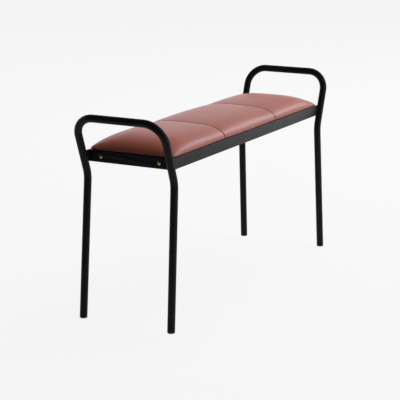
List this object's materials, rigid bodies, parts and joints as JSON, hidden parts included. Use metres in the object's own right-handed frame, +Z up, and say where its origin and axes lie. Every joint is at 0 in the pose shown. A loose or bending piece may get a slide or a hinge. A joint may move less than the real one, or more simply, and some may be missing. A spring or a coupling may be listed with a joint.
{
  "type": "luggage bench",
  "caption": "Luggage bench with bent-tube end frames that rise into outward-leaning handles, a steel-angle seat frame and a crowned leather pad in three sewn panels.",
  "frame": {"origin": "on the floor under the middle of the bench", "axes": "+X along the seat, -Y to the front, +Z up"},
  "size_m": [1.1114, 0.311, 0.601],
  "materials": {
    "black_steel": "matt black powder coat",
    "black_plastic": "moulded, matt",
    "brass": "satin",
    "zinc_steel": "zinc plated",
    "leather": "smooth, semi-gloss",
    "foam": "open-cell foam",
    "plywood": "raw birch plywood",
    "black_cloth": "non-woven cloth"
  },
  "bodies": {
    "root": {"board_screw_front_left": "zinc_steel", "board_screw_front_middle": "zinc_steel", "board_screw_front_right": "zinc_steel", "board_screw_rear_left": "zinc_steel", "board_screw_rear_middle": "zinc_steel", "board_screw_rear_right": "zinc_steel", "bolt_nut_left_front": "zinc_steel", "bolt_nut_left_rear": "zinc_steel", "bolt_nut_right_front": "zinc_steel", "bolt_nut_right_rear": "zinc_steel", "bolt_washer_left_front": "zinc_steel", "bolt_washer_left_rear": "zinc_steel", "bolt_washer_right_front": "zinc_steel", "bolt_washer_right_rear": "zinc_steel", "brass_bolt_left_front": "brass", "brass_bolt_left_rear": "brass", "brass_bolt_right_front": "brass", "brass_bolt_right_rear": "brass", "cover_panel_left": "leather", "cover_panel_middle": "leather", "cover_panel_right": "leather", "dust_cover": "black_cloth", "foot_plug_left_front": "black_plastic", "foot_plug_left_rear": "black_plastic", "foot_plug_right_front": "black_plastic", "foot_plug_right_rear": "black_plastic", "front_rail": "black_steel", "left_end_bracket": "black_steel", "left_end_rail": "black_steel", "left_leg_frame": "black_steel", "rear_rail": "black_steel", "right_end_bracket": "black_steel", "right_end_rail": "black_steel", "right_leg_frame": "black_steel", "seat_board": "plywood", "seat_foam": "foam"}
  },
  "joints": []
}
